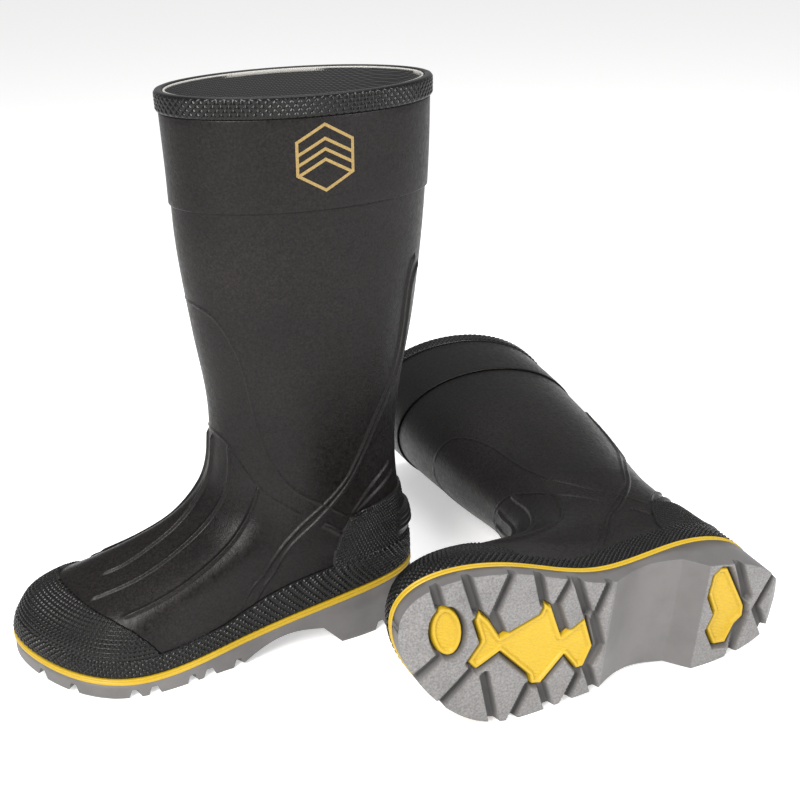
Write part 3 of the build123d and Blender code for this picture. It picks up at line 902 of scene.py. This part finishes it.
def outsole():
    """The outsole: its tread, the walls up to the yellow layer, and the closed ends."""
    plan = outsole_plan()
    z, face, groove = tread(plan)
    lower = np.concatenate([plan, z[..., None]], -1)
    top = feather(plan[:, 0, 0]) - MIDSOLE + 0.2
    shares = (0.06, 0.3, 0.6, 1.0)  # the wall's rows, from the tread to the top

    def wall(foot):
        rows = [np.c_[foot[:, :2], foot[:, 2] * (1 - w) + top * w] for w in shares]
        return np.stack(rows, 1)

    strip = np.concatenate([wall(lower[:, 0])[:, ::-1], lower, wall(lower[:, -1])], 1)
    rows, cols = strip.shape[:2]
    faces = grid_faces(rows, cols, wrap_cols=True)
    caps = []
    for i in (0, rows - 1):
        row = np.arange(cols) + i * cols
        for k in range(cols // 2 - 1):
            quad = [row[k], row[k + 1], row[cols - 2 - k], row[cols - 1 - k]]
            caps.append(quad if i == 0 else quad[::-1])
    make("outsole", strip, np.concatenate([faces, np.array(caps)]), GREY, ["outsole"])
    # tread_face marks the worn tread faces; tread_groove drives the painted shade in the grooves
    for obj in PIECES[-2:]:
        for label, values in (("tread_face", face), ("tread_groove", groove)):
            padded = np.pad(values, ((0, 0), (len(shares), len(shares))))
            stored = obj.data.attributes.new(label, "FLOAT", "POINT")
            stored.data.foreach_set("value", padded.astype(np.float32).ravel())


def pads():
    """The yellow pads set in the tread: a raised frame round a field of fine lines."""
    frame_top, field = 2.4, 4.5
    for name, outline in PADS.items():
        o = np.array(outline, float)
        low, high = o.min(0) - 1.0, o.max(0) + 1.0
        nx, ny = (np.ceil((high - low) / 0.55)).astype(int)
        x, y = np.linspace(low[0], high[0], nx), np.linspace(low[1], high[1], ny)
        p = np.stack(np.meshgrid(x, y, indexing="ij"), -1)
        e = inside_distance(p, outline)
        profile = [
            (-0.6, 9.0), (0.0, 6.6), (1.0, 3.0), (1.7, frame_top), (3.0, frame_top), (4.5, field), (60, field),
        ]
        z = np.interp(e, *np.array(profile).T)
        lines = np.sin((p[..., 0] * 0.35 + p[..., 1] * 0.94) * 2 * pi / 2.3)
        z = z + np.where(e > 4.4, -0.45 * ramp(lines, -0.3, 0.7), 0)
        z = z + spring(p[..., 0])
        keep = e > -0.75
        points = np.concatenate([p, z[..., None]], -1)
        faces = grid_faces(nx, ny)
        faces = faces[keep.reshape(-1)[faces].all(1)]
        used, inverse = np.unique(faces, return_inverse=True)
        faces = inverse.reshape(faces.shape)[:, ::-1]
        make(name, points.reshape(-1, 3)[used], faces, YELLOW, [name])


upper()
cuff()
binding()
foxing()
toe_guard()
heel_guard()
kick_lug()
stripe()
outsole()
pads()


# ------------------------------------------------------------------ floor, light and camera
def stage():
    bpy.ops.mesh.primitive_plane_add(size=1)
    floor = bpy.context.object
    floor.name = "floor"
    floor.scale = (30, 30, 1)
    floor.location = (0, 0, -0.0005)
    mat, _, bsdf = material("pale_floor", (0.9, 0.9, 0.9), 0.9)
    bsdf.inputs["Emission Color"].default_value = (1, 1, 1, 1)
    bsdf.inputs["Emission Strength"].default_value = 0.45
    floor.data.materials.append(mat)


def area(name, at, to, size, power, color=(1, 1, 1)):
    """A soft rectangular lamp turned to a point."""
    lamp = bpy.data.lights.new(name, "AREA")
    lamp.shape = "RECTANGLE"
    lamp.size, lamp.size_y = size
    lamp.energy = power
    lamp.color = color
    obj = bpy.data.objects.new(name, lamp)
    obj.location = at
    obj.rotation_euler = (Vector(to) - Vector(at)).to_track_quat("-Z", "Y").to_euler()
    bpy.context.scene.collection.objects.link(obj)


def lights():
    world = bpy.data.worlds.new("studio")
    bpy.context.scene.world = world
    world.use_nodes = True
    world.node_tree.nodes["Background"].inputs["Color"].default_value = (1, 1, 1, 1)
    world.node_tree.nodes["Background"].inputs["Strength"].default_value = 0.42
    area("key", (-1.15, -1.2, 1.25), (0, 0, 0.15), (0.6, 0.9), 46, (1.0, 0.985, 0.96))
    area("fill", (1.1, -1.5, 1.0), (0.0, 0, 0.15), (0.4, 0.9), 26)
    area("top", (0.1, 0.2, 1.8), (0, 0, 0), (1.2, 1.2), 14)


def camera():
    """The photograph's viewing angle, fitted in the standing boot's own frame, in millimetres."""
    step_back = 1.02
    eye = np.array([295.4366, 830.9787, 530.4195]) * step_back
    right = np.array([-0.93948851, 0.34193809, -0.02096879])
    up = np.array([-0.15008298, -0.35579211, 0.92243541])
    back = np.array([0.30795527, 0.86976452, 0.38558168])
    turn = np.diag([-1.0, -1.0, 1.0])
    sensor, width, focal = 36.0, 800, 1329.525  # millimetres, and the image in pixels
    cam = bpy.data.cameras.new("camera")
    cam.sensor_width = sensor
    cam.lens = focal / width * sensor
    cam.clip_end = 50
    obj = bpy.data.objects.new("camera", cam)
    m = np.eye(4)
    m[:3, :3] = np.stack([turn @ right, turn @ up, turn @ back], 1)
    m[:3, 3] = (turn @ eye + np.array([CX, CY, 0])) * MM
    obj.matrix_world = Matrix(m.tolist())
    bpy.context.scene.collection.objects.link(obj)
    bpy.context.scene.camera = obj


stage()
lights()
camera()
bpy.context.scene.view_settings.view_transform = "Standard"
